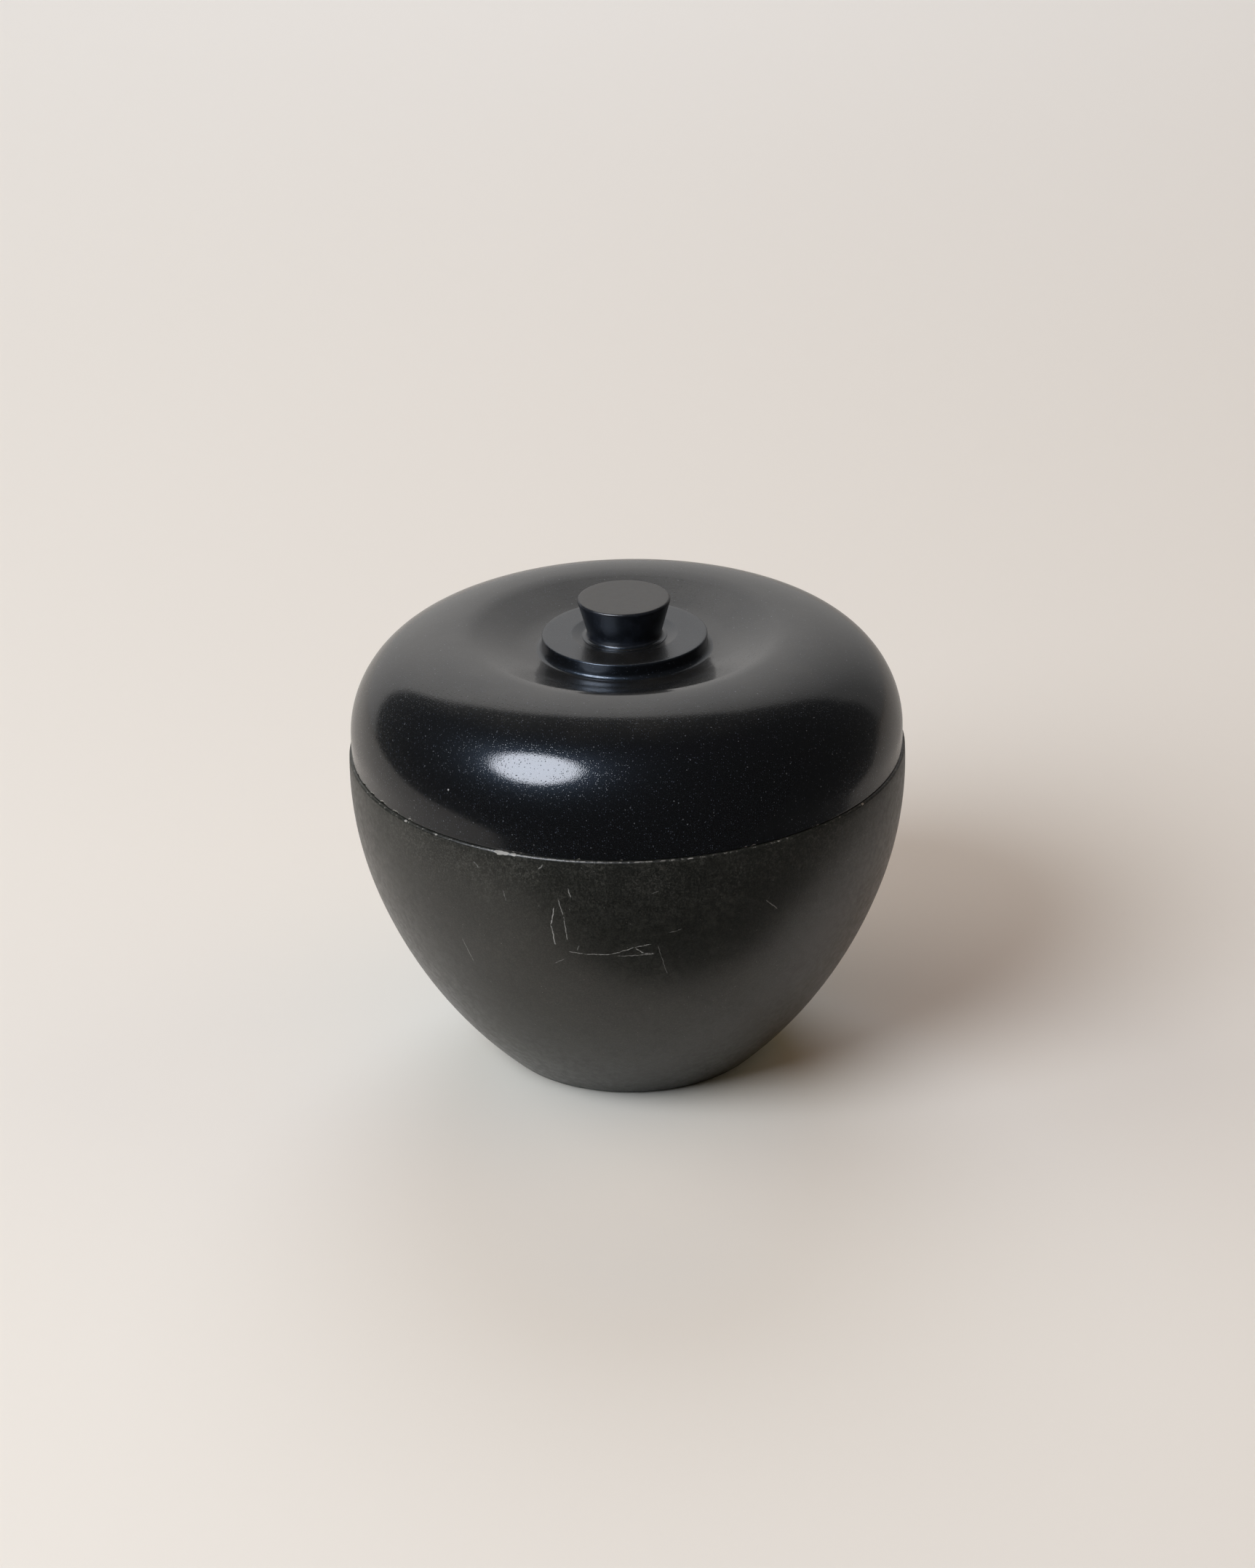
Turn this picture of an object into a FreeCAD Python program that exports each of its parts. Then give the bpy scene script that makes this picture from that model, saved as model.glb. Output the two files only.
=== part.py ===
"""Go stone bowl: a round moulded bowl, its lid, and a flared knob screwed to the lid from below.

Everything is round about the Z axis. The origin is the centre of the face that the bowl stands on, +Z is up,
and lengths are in millimetres. Each piece is a PartDesign body whose sizes come from the Dimensions sheet.
"""

import FreeCAD, Part
import Sketcher
import math
import os

# The driving dimensions: the cell's alias, its value, and what it measures.
DIMENSIONS = [
    ("bowl_radius", 60.3, "widest radius of the bowl"),
    ("seam_height", 71.1, "height of the rim on which the lid rests"),
    ("belly_drop", 4.1, "how far below the rim the bowl is widest"),
    ("belly_radius", 77.4, "radius of the arc of the bowl's upper wall"),
    ("flank_radius", 103.9, "radius of the arc of the bowl's lower wall"),
    ("foot_radius", 29.0, "radius at which the lower wall meets the table"),
    ("foot_rounding", 1.2, "rounding of the foot's outer edge"),
    ("bowl_wall", 3.2, "thickness of the bowl's wall"),
    ("floor_thickness", 4.4, "height of the bowl's inner floor"),
    ("floor_radius", 29.0, "radius at which the inner wall meets the floor"),
    ("floor_rounding", 9.0, "rounding between the inner wall and the floor"),
    ("recess_radius", 23.5, "radius of the shallow recess under the foot"),
    ("recess_depth", 0.9, "depth of the recess under the foot"),
    ("edge_break", 0.4, "rounding or chamfer of the sharp edges along the seam"),
    ("mouth_rounding", 0.8, "rounding of the mouth's inner edge"),
    ("spigot_clearance", 0.4, "radial play of the lid's spigot in the mouth"),
    ("spigot_depth", 4.0, "how far the lid's spigot reaches into the bowl"),
    ("spigot_wall", 2.2, "thickness of the lid's spigot"),
    ("lid_wall", 3.0, "thickness of the lid"),
    ("shoulder_radius", 21.3, "radius of the arc of the lid's shoulder"),
    ("shoulder_centre", 38.4, "distance of that arc's centre from the axis"),
    ("shoulder_rise", 3.9, "height of that arc's centre above the seam"),
    ("crown_radius", 27.8, "radius of the arc that leads up to the lid's crest"),
    ("crest_radius", 35.3, "radius of the ring-shaped crest of the lid"),
    ("crest_rounding", 12.0, "radius of the arc just inside the crest"),
    ("well_slope", 17.0, "slope in degrees of the cone that leads from the crest down into the well"),
    ("disc_radius", 17.8, "radius of the raised disc in the middle of the lid"),
    ("well_height", 93.3, "height of the well's floor at the foot of the disc"),
    ("disc_height", 3.3, "how far the disc stands up from the well's floor"),
    ("disc_rounding", 0.4, "rounding of the disc's upper edge"),
    ("disc_foot_rounding", 1.2, "rounding at the foot of the disc"),
    ("dish_radius", 11.4, "radius of the shallow dish in the disc, in which the knob stands"),
    ("dish_floor_radius", 9.3, "radius of the dish's flat floor, from which a gentle slope leads up"),
    ("dish_depth", 0.6, "depth of that dish"),
    ("dish_rounding", 1.5, "rounding between the dish's slope and the disc, and between slope and floor"),
    ("web_thickness", 3.2, "thickness of the disc above the pocket for the screw's head"),
    ("screw_seat_radius", 8.0, "radius of the pocket for the screw's head"),
    ("screw_hole_radius", 2.3, "radius of the screw's clearance hole"),
    ("knob_height", 8.8, "height of the knob above the floor of its dish"),
    ("knob_top_radius", 10.1, "radius of the knob's top"),
    ("knob_foot_radius", 7.75, "radius of the knob where it meets its flange"),
    ("knob_flange_radius", 9.1, "radius of the thin flange under the knob"),
    ("knob_flange_height", 0.1, "thickness of that flange at its edge"),
    ("knob_flange_rise", 0.1, "how far the flange rises from its edge to the knob's foot"),
    ("knob_rim_rounding", 0.5, "rounding of the knob's top edge"),
    ("knob_foot_rounding", 0.8, "rounding between the knob and its flange"),
    ("insert_radius", 3.2, "outer radius of the threaded insert"),
    ("insert_length", 6.0, "length of the threaded insert"),
    ("insert_waist", 0.5, "depth of the groove round the insert's middle"),
    ("insert_bore_radius", 2.05, "radius of the insert's bore"),
    ("flute_depth", 0.25, "depth of the insert's flutes"),
    ("washer_radius", 5.5, "outer radius of the washer"),
    ("washer_hole_radius", 2.1, "radius of the washer's hole"),
    ("washer_thickness", 0.8, "thickness of the washer"),
    ("shank_radius", 2.0, "radius of the screw's shank"),
    ("shank_length", 9.0, "length of the screw under its head"),
    ("head_radius", 4.0, "radius of the screw's head"),
    ("head_height", 2.4, "height of the screw's head"),
    ("head_rounding", 0.9, "rounding of the head's edge"),
    ("slot_width", 1.1, "width of the slot in the head"),
    ("slot_depth", 1.1, "depth of the slot in the head"),
]
FLUTES = 20  # flutes round the threaded insert
OVERCUT = 1.0  # how far a cut runs past the face that it opens

START, END, CENTRE = 1, 2, 3  # Sketcher's numbers for the points of a curve
ORIGIN = (-1, 1)  # Sketcher's name for the sketch's origin


def make_sheet(doc):
    """The spreadsheet of driving dimensions, one alias to a row."""
    sheet = doc.addObject("Spreadsheet::Sheet", "Dimensions")
    for row, (alias, value, note) in enumerate(DIMENSIONS, start=1):
        sheet.set(f"A{row}", note)
        sheet.set(f"B{row}", str(value))
        sheet.setAlias(f"B{row}", alias)
    doc.recompute()
    return sheet


class Sheet:
    """Reads the sheet's cells as plain numbers, for a sketch's first guess."""

    def __init__(self, sheet):
        self.sheet = sheet

    def __getattr__(self, alias):
        return float(self.sheet.get(alias))


def cells(expression):
    """The same expression with every alias written as a cell of the Dimensions sheet."""
    for alias in sorted((name for name, _, _ in DIMENSIONS), key=len, reverse=True):
        expression = expression.replace(f"<{alias}>", f"Dimensions.{alias}")
    return expression


class Outline:
    """A closed outline in a sketch, drawn curve by curve from a first point, then held by constraints."""

    def __init__(self, body, name, plane="XZ_Plane"):
        self.sketch = body.newObject("Sketcher::SketchObject", name)
        origin_plane = next(f for f in body.Origin.OriginFeatures if f.Role == plane)
        self.sketch.AttachmentSupport = [(origin_plane, "")]
        self.sketch.MapMode = "FlatFace"

    def line(self, start, end):
        a, b = FreeCAD.Vector(*start, 0), FreeCAD.Vector(*end, 0)
        return self.sketch.addGeometry(Part.LineSegment(a, b))

    def arc(self, centre, radius, first, last):
        """An arc about centre, anticlockwise from angle first to angle last, in degrees."""
        circle = Part.Circle(FreeCAD.Vector(*centre, 0), FreeCAD.Vector(0, 0, 1), radius)
        arc = Part.ArcOfCircle(circle, math.radians(first), math.radians(last))
        return self.sketch.addGeometry(arc)

    def circle(self, radius, expression):
        """A whole circle about the sketch's origin."""
        shape = Part.Circle(FreeCAD.Vector(0, 0, 0), FreeCAD.Vector(0, 0, 1), radius)
        ring = self.sketch.addGeometry(shape)
        self.add("Coincident", ring, CENTRE, *ORIGIN)
        self.size("Radius", expression, radius, ring)

    def add(self, kind, *names):
        return self.sketch.addConstraint(Sketcher.Constraint(kind, *names))

    def join(self, *ends):
        """Joins curves end to end. Each entry is (curve, end, next curve, its start)."""
        for names in ends:
            self.add("Coincident", *names)

    def size(self, kind, expression, value, *names):
        """A dimension with a first value, bound to the sheet."""
        index = self.add(kind, *names, value)
        self.sketch.setExpression(f"Constraints[{index}]", cells(expression))


def revolve(body, outline, kind, label):
    """Turns an outline once about the sketch's upright axis, as a Revolution or a Groove."""
    feature = body.newObject(f"PartDesign::{kind}", label)
    feature.Profile = outline.sketch
    feature.ReferenceAxis = (outline.sketch, ["V_Axis"])
    feature.Angle = 360.0
    outline.sketch.Visibility = False
    body.Document.recompute()
    return feature


def ring_edges(feature, radius, height):
    """The names of the circular edges of that radius at that height about the Z axis."""
    near = 0.02
    names = []
    for number, edge in enumerate(feature.Shape.Edges, start=1):
        curve = edge.Curve
        if not isinstance(curve, Part.Circle) or math.hypot(curve.Center.x, curve.Center.y) > near:
            continue
        if abs(curve.Radius - radius) < near and abs(curve.Center.z - height) < near:
            names.append(f"Edge{number}")
    if not names:
        raise ValueError(f"{feature.Label} has no ring of radius {radius:.3f} at {height:.3f}")
    return names


def dress(body, kind, label, edges, expression):
    """A Fillet or a Chamfer on edges of the body's tip, with its size bound to the sheet."""
    base = body.Tip
    feature = body.newObject(f"PartDesign::{kind}", label)
    feature.Base = (base, edges)
    feature.setExpression("Radius" if kind == "Fillet" else "Size", cells(expression))
    body.Document.recompute()
    return feature


def pocket(body, outline, label, length_expression=None):
    """Cuts an outline on the XY plane upwards: by a length, or through everything."""
    before = body.Tip.Shape.Volume
    feature = body.newObject("PartDesign::Pocket", label)
    feature.Profile = outline.sketch
    feature.Reversed = True
    if length_expression:
        feature.Type = "Length"
        feature.setExpression("Length", cells(length_expression))
    else:
        feature.Type = "ThroughAll"
    outline.sketch.Visibility = False
    body.Document.recompute()
    if feature.Shape.Volume >= before:
        raise ValueError(f"{label} cuts nothing")
    return feature


def new_body(doc, label):
    body = doc.addObject("PartDesign::Body", label)
    body.Label = label
    return body


def bowl_outside(body, d):
    """The bowl's outer form: a flat base, the flank's arc, the belly's arc and the flat rim."""
    belly = (d.bowl_radius - d.belly_radius, d.seam_height - d.belly_drop)
    lean = 19.5  # degrees below level at which the two arcs meet, as a first guess
    reach = d.belly_radius - d.flank_radius
    turn = math.radians(-lean)
    flank = (belly[0] + reach * math.cos(turn), belly[1] + reach * math.sin(turn))
    low = math.degrees(math.asin(-flank[1] / d.flank_radius))
    high = math.degrees(math.asin(d.belly_drop / d.belly_radius))
    rim = (belly[0] + d.belly_radius * math.cos(math.radians(high)), d.seam_height)

    outline = Outline(body, "bowl_outside_outline")
    base = outline.line((0, 0), (d.foot_radius, 0))
    lower = outline.arc(flank, d.flank_radius, low, -lean)
    upper = outline.arc(belly, d.belly_radius, -lean, high)
    top = outline.line(rim, (0, d.seam_height))
    axis = outline.line((0, d.seam_height), (0, 0))
    outline.join((base, END, lower, START), (upper, END, top, START))
    outline.join((top, END, axis, START), (axis, END, base, START))
    outline.add("Tangent", lower, END, upper, START)
    outline.add("Coincident", base, START, *ORIGIN)
    outline.add("Horizontal", base)
    outline.add("Horizontal", top)
    outline.add("Vertical", axis)
    outline.size("DistanceX", "<foot_radius>", d.foot_radius, *ORIGIN, base, END)
    outline.size("DistanceY", "<seam_height>", d.seam_height, *ORIGIN, axis, START)
    outline.size("Radius", "<flank_radius>", d.flank_radius, lower)
    outline.size("Radius", "<belly_radius>", d.belly_radius, upper)
    outline.size("DistanceX", "<belly_radius> - <bowl_radius>", -belly[0], upper, CENTRE, *ORIGIN)
    outline.size("DistanceY", "<seam_height> - <belly_drop>", belly[1], *ORIGIN, upper, CENTRE)
    return outline


def bowl_cavity(body, d):
    """The space inside the bowl: arcs one wall inside the outer ones, then a straight mouth."""
    belly = (d.bowl_radius - d.belly_radius, d.seam_height - d.belly_drop)
    inner_belly = d.belly_radius - d.bowl_wall
    inner_flank = d.flank_radius - d.bowl_wall
    lean = 19.5
    turn = math.radians(-lean)
    reach = inner_belly - inner_flank
    flank = (belly[0] + reach * math.cos(turn), belly[1] + reach * math.sin(turn))
    low = math.degrees(math.asin((d.floor_thickness - flank[1]) / inner_flank))
    mouth = belly[0] + inner_belly
    top_height = d.seam_height + OVERCUT

    outline = Outline(body, "bowl_cavity_outline")
    floor = outline.line((0, d.floor_thickness), (d.floor_radius, d.floor_thickness))
    lower = outline.arc(flank, inner_flank, low, -lean)
    upper = outline.arc(belly, inner_belly, -lean, 0)
    wall = outline.line((mouth, belly[1]), (mouth, top_height))
    top = outline.line((mouth, top_height), (0, top_height))
    axis = outline.line((0, top_height), (0, d.floor_thickness))
    outline.join((floor, END, lower, START), (wall, END, top, START))
    outline.join((top, END, axis, START), (axis, END, floor, START))
    outline.add("Tangent", lower, END, upper, START)
    outline.add("Tangent", upper, END, wall, START)
    outline.add("PointOnObject", floor, START, -2)
    outline.add("Horizontal", floor)
    outline.add("Vertical", wall)
    outline.add("Horizontal", top)
    outline.add("Vertical", axis)
    outline.size("DistanceY", "<floor_thickness>", d.floor_thickness, *ORIGIN, floor, START)
    outline.size("DistanceX", "<floor_radius>", d.floor_radius, *ORIGIN, floor, END)
    outline.size("DistanceY", f"<seam_height> + {OVERCUT}", top_height, *ORIGIN, axis, START)
    outline.size("Radius", "<flank_radius> - <bowl_wall>", inner_flank, lower)
    outline.size("Radius", "<belly_radius> - <bowl_wall>", inner_belly, upper)
    outline.size("DistanceX", "<belly_radius> - <bowl_radius>", -belly[0], upper, CENTRE, *ORIGIN)
    outline.size("DistanceY", "<seam_height> - <belly_drop>", belly[1], *ORIGIN, upper, CENTRE)
    return outline


def make_bowl(doc, d):
    """The bowl: one moulding with a recessed foot and a plain flat rim."""
    body = new_body(doc, "bowl")
    revolve(body, bowl_outside(body, d), "Revolution", "bowl_solid")
    rim_radius = (d.bowl_radius - d.belly_radius) + math.sqrt(d.belly_radius**2 - d.belly_drop**2)
    revolve(body, bowl_cavity(body, d), "Groove", "bowl_hollow")

    recess = Outline(body, "foot_recess_outline", "XY_Plane")
    recess.circle(d.recess_radius, "<recess_radius>")
    pocket(body, recess, "foot_recess", "<recess_depth>")

    mouth_radius = d.bowl_radius - d.bowl_wall
    corner = ring_edges(body.Tip, d.floor_radius, d.floor_thickness)
    dress(body, "Fillet", "floor_corner", corner, "<floor_rounding>")
    dress(body, "Fillet", "foot_edge", ring_edges(body.Tip, d.foot_radius, 0), "<foot_rounding>")
    rim_edge = ring_edges(body.Tip, rim_radius, d.seam_height)
    dress(body, "Chamfer", "rim_edge", rim_edge, "<edge_break>")
    mouth_edge = ring_edges(body.Tip, mouth_radius, d.seam_height)
    dress(body, "Fillet", "mouth_edge", mouth_edge, "<mouth_rounding>")
    return body


def dome_arcs(d, inset):
    """The lid's four arcs, inset from its outer face: shoulder, crown, crest and well, as (centre, radius)."""
    shoulder = (d.shoulder_centre, d.seam_height + d.shoulder_rise)
    apart = d.crown_radius - d.shoulder_radius
    across = shoulder[0] - d.crest_radius
    crown = (d.crest_radius, shoulder[1] - math.sqrt(apart**2 - across**2))
    crest_height = crown[1] + d.crown_radius
    crest = (d.crest_radius, crest_height - d.crest_rounding)
    # the well's arc is level where it meets the disc, and a cone joins it to the crest's arc
    run, drop = d.crest_radius - d.disc_radius, crest_height - d.well_height
    slope = math.radians(d.well_slope)
    both = (run * math.sin(slope) - drop * math.cos(slope)) / (1 - math.cos(slope))
    well_radius = both - d.crest_rounding
    well = (d.disc_radius, d.well_height + well_radius)
    return [
        (shoulder, d.shoulder_radius - inset),
        (crown, d.crown_radius - inset),
        (crest, d.crest_rounding - inset),
        (well, well_radius + inset),
    ]


def angle_between(start, end):
    """The direction from one point to another, in degrees."""
    return math.degrees(math.atan2(end[1] - start[1], end[0] - start[0]))


def on_arc(centre, radius, angle):
    turn = math.radians(angle)
    return (centre[0] + radius * math.cos(turn), centre[1] + radius * math.sin(turn))


def draw_dome(outline, d, inset, low_angle):
    """Draws the arcs and the cone from the shoulder to the foot of the disc, and binds them to the sheet."""
    (shoulder, r_shoulder), (crown, r_crown), (crest, r_crest), (well, r_well) = dome_arcs(d, inset)
    turn = angle_between(crown, shoulder)
    slope = d.well_slope
    a = outline.arc(shoulder, r_shoulder, low_angle, turn)
    b = outline.arc(crown, r_crown, turn, 90)
    c = outline.arc(crest, r_crest, 90, 90 + slope)
    e = outline.arc(well, r_well, 270, 270 + slope)
    cone = outline.line(on_arc(crest, r_crest, 90 + slope), on_arc(well, r_well, 270 + slope))
    outline.add("Tangent", a, END, b, START)
    outline.add("Tangent", b, END, c, START)
    outline.add("Tangent", c, END, cone, START)
    outline.add("Tangent", cone, END, e, END)
    outline.add("Vertical", b, CENTRE, b, END)
    outline.add("Vertical", e, CENTRE, e, START)
    less = " - <lid_wall>" if inset else ""
    outline.size("Radius", "<shoulder_radius>" + less, r_shoulder, a)
    outline.size("DistanceX", "<shoulder_centre>", shoulder[0], *ORIGIN, a, CENTRE)
    height = "<seam_height> + <shoulder_rise>"
    outline.size("DistanceY", height, shoulder[1], *ORIGIN, a, CENTRE)
    outline.size("Radius", "<crown_radius>" + less, r_crown, b)
    outline.size("DistanceX", "<crest_radius>", d.crest_radius, *ORIGIN, b, END)
    outline.size("Radius", "<crest_rounding>" + less, r_crest, c)
    outline.size("DistanceX", "<disc_radius>", d.disc_radius, *ORIGIN, e, START)
    outline.size("DistanceY", "<well_height>" + less, well[1] - r_well, *ORIGIN, e, START)
    outline.size("Angle", "<well_slope>", math.radians(slope), e)
    return a, e


def lid_outside(body, d):
    """The lid's outer form: spigot, seat, short upright skirt, domed ring, well and dished disc."""
    reach = d.shoulder_centre + d.shoulder_radius
    spigot = d.bowl_radius - d.bowl_wall - d.spigot_clearance
    bottom = d.seam_height - d.spigot_depth
    top = d.well_height + d.disc_height

    outline = Outline(body, "lid_outside_outline")
    under = outline.line((0, bottom), (spigot, bottom))
    side = outline.line((spigot, bottom), (spigot, d.seam_height))
    seat = outline.line((spigot, d.seam_height), (reach, d.seam_height))
    skirt = outline.line((reach, d.seam_height), (reach, d.seam_height + d.shoulder_rise))
    first, last = draw_dome(outline, d, 0, 0)
    edge = outline.line((d.disc_radius, d.well_height), (d.disc_radius, top))
    disc = outline.line((d.disc_radius, top), (d.dish_radius, top))
    floor = top - d.dish_depth
    slope = outline.line((d.dish_radius, top), (d.dish_floor_radius, floor))
    dish = outline.line((d.dish_floor_radius, floor), (0, floor))
    axis = outline.line((0, floor), (0, bottom))
    outline.join((under, END, side, START), (side, END, seat, START), (seat, END, skirt, START))
    outline.join((skirt, END, first, START), (last, START, edge, START), (edge, END, disc, START))
    outline.join((disc, END, slope, START), (slope, END, dish, START))
    outline.join((dish, END, axis, START), (axis, END, under, START))
    outline.add("PointOnObject", under, START, -2)
    for level in (under, seat, disc, dish):
        outline.add("Horizontal", level)
    for upright in (side, skirt, edge, axis):
        outline.add("Vertical", upright)
    outline.add("Horizontal", first, CENTRE, first, START)
    outline.size("DistanceY", "<seam_height> - <spigot_depth>", bottom, *ORIGIN, under, START)
    outline.size("DistanceY", "<seam_height>", d.seam_height, *ORIGIN, seat, START)
    spigot_size = "<bowl_radius> - <bowl_wall> - <spigot_clearance>"
    outline.size("DistanceX", spigot_size, spigot, *ORIGIN, under, END)
    outline.size("DistanceY", "<disc_height>", d.disc_height, edge, START, edge, END)
    outline.size("DistanceX", "<dish_radius>", d.dish_radius, *ORIGIN, disc, END)
    outline.size("DistanceX", "<dish_floor_radius>", d.dish_floor_radius, *ORIGIN, slope, END)
    outline.size("DistanceY", "<dish_depth>", d.dish_depth, slope, END, slope, START)
    return outline


def lid_cavity(body, d):
    """The hollow under the lid, with a pocket in its middle for the screw's head."""
    shoulder, r_shoulder = dome_arcs(d, d.lid_wall)[0]
    bore = d.bowl_radius - d.bowl_wall - d.spigot_clearance - d.spigot_wall
    low = math.degrees(math.acos((bore - shoulder[0]) / r_shoulder))
    bottom = d.seam_height - d.spigot_depth - OVERCUT
    ceiling = d.well_height - d.lid_wall
    seat = d.well_height + d.disc_height - d.web_thickness

    outline = Outline(body, "lid_cavity_outline")
    under = outline.line((0, bottom), (bore, bottom))
    side = outline.line((bore, bottom), on_arc(shoulder, r_shoulder, low))
    first, last = draw_dome(outline, d, d.lid_wall, low)
    flat = outline.line((d.disc_radius, ceiling), (d.screw_seat_radius, ceiling))
    step = outline.line((d.screw_seat_radius, ceiling), (d.screw_seat_radius, seat))
    web = outline.line((d.screw_seat_radius, seat), (0, seat))
    axis = outline.line((0, seat), (0, bottom))
    outline.join((under, END, side, START), (side, END, first, START), (last, START, flat, START))
    outline.join((flat, END, step, START), (step, END, web, START))
    outline.join((web, END, axis, START), (axis, END, under, START))
    outline.add("PointOnObject", under, START, -2)
    for level in (under, flat, web):
        outline.add("Horizontal", level)
    for upright in (side, step, axis):
        outline.add("Vertical", upright)
    bottom_size = f"<seam_height> - <spigot_depth> - {OVERCUT}"
    outline.size("DistanceY", bottom_size, bottom, *ORIGIN, under, START)
    bore_size = "<bowl_radius> - <bowl_wall> - <spigot_clearance> - <spigot_wall>"
    outline.size("DistanceX", bore_size, bore, *ORIGIN, under, END)
    outline.size("DistanceX", "<screw_seat_radius>", d.screw_seat_radius, *ORIGIN, flat, END)
    seat_size = "<well_height> + <disc_height> - <web_thickness>"
    outline.size("DistanceY", seat_size, seat, *ORIGIN, step, END)
    return outline


def make_lid(doc, d):
    """The lid: one moulding, with a raised disc and the shallow dish in it that the knob stands in."""
    body = new_body(doc, "lid")
    revolve(body, lid_outside(body, d), "Revolution", "lid_solid")
    revolve(body, lid_cavity(body, d), "Groove", "lid_hollow")

    hole = Outline(body, "screw_hole_outline", "XY_Plane")
    hole.circle(d.screw_hole_radius, "<screw_hole_radius>")
    pocket(body, hole, "screw_hole")

    disc_top = d.well_height + d.disc_height
    spigot = d.bowl_radius - d.bowl_wall - d.spigot_clearance
    spigot_bottom = d.seam_height - d.spigot_depth
    seam_edge = ring_edges(body.Tip, d.shoulder_centre + d.shoulder_radius, d.seam_height)
    dress(body, "Fillet", "seam_edge", seam_edge, "<edge_break>")
    spigot_edge = ring_edges(body.Tip, spigot, spigot_bottom)
    dress(body, "Chamfer", "spigot_edge", spigot_edge, "<edge_break>")
    disc_edge = ring_edges(body.Tip, d.disc_radius, disc_top)
    dress(body, "Fillet", "disc_edge", disc_edge, "<disc_rounding>")
    dish_rim = ring_edges(body.Tip, d.dish_radius, disc_top)
    dress(body, "Fillet", "dish_rim", dish_rim, "<dish_rounding>")
    dish_corner = ring_edges(body.Tip, d.dish_floor_radius, disc_top - d.dish_depth)
    dress(body, "Fillet", "dish_corner", dish_corner, "<dish_rounding>")
    disc_foot = ring_edges(body.Tip, d.disc_radius, d.well_height)
    dress(body, "Fillet", "disc_foot", disc_foot, "<disc_foot_rounding>")
    return body


def make_knob(doc, d):
    """The knob: a flared grip on a thin sloping flange, with a blind hole for its insert."""
    body = new_body(doc, "knob")
    foot = d.well_height + d.disc_height - d.dish_depth
    brim = foot + d.knob_flange_height
    root = brim + d.knob_flange_rise
    top = foot + d.knob_height

    outline = Outline(body, "knob_outline")
    under = outline.line((0, foot), (d.knob_flange_radius, foot))
    edge = outline.line((d.knob_flange_radius, foot), (d.knob_flange_radius, brim))
    flange = outline.line((d.knob_flange_radius, brim), (d.knob_foot_radius, root))
    flare = outline.line((d.knob_foot_radius, root), (d.knob_top_radius, top))
    face = outline.line((d.knob_top_radius, top), (0, top))
    axis = outline.line((0, top), (0, foot))
    outline.join((under, END, edge, START), (edge, END, flange, START), (flange, END, flare, START))
    outline.join((flare, END, face, START), (face, END, axis, START), (axis, END, under, START))
    outline.add("PointOnObject", under, START, -2)
    for level in (under, face):
        outline.add("Horizontal", level)
    for upright in (edge, axis):
        outline.add("Vertical", upright)
    foot_size = "<well_height> + <disc_height> - <dish_depth>"
    outline.size("DistanceY", foot_size, foot, *ORIGIN, under, START)
    outline.size("DistanceY", "<knob_flange_rise>", d.knob_flange_rise, flange, START, flange, END)
    outline.size("DistanceY", "<knob_height>", d.knob_height, axis, END, axis, START)
    outline.size("DistanceY", "<knob_flange_height>", d.knob_flange_height, edge, START, edge, END)
    outline.size("DistanceX", "<knob_flange_radius>", d.knob_flange_radius, *ORIGIN, under, END)
    outline.size("DistanceX", "<knob_foot_radius>", d.knob_foot_radius, *ORIGIN, flange, END)
    outline.size("DistanceX", "<knob_top_radius>", d.knob_top_radius, *ORIGIN, flare, END)
    revolve(body, outline, "Revolution", "knob_solid")

    # the hole's outline lies on the table plane, so its cut is as long as the hole's closed end is high
    hole = Outline(body, "insert_hole_outline", "XY_Plane")
    hole.circle(d.insert_radius, "<insert_radius>")
    pocket(body, hole, "insert_hole", foot_size + " + <insert_length>")

    rim = ring_edges(body.Tip, d.knob_top_radius, top)
    dress(body, "Fillet", "knob_rim", rim, "<knob_rim_rounding>")
    base = ring_edges(body.Tip, d.knob_foot_radius, root)
    dress(body, "Fillet", "knob_base", base, "<knob_foot_rounding>")
    outer = ring_edges(body.Tip, d.knob_flange_radius, brim)
    dress(body, "Fillet", "flange_edge", outer, "<knob_flange_height> * 0.6")
    return body


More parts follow.
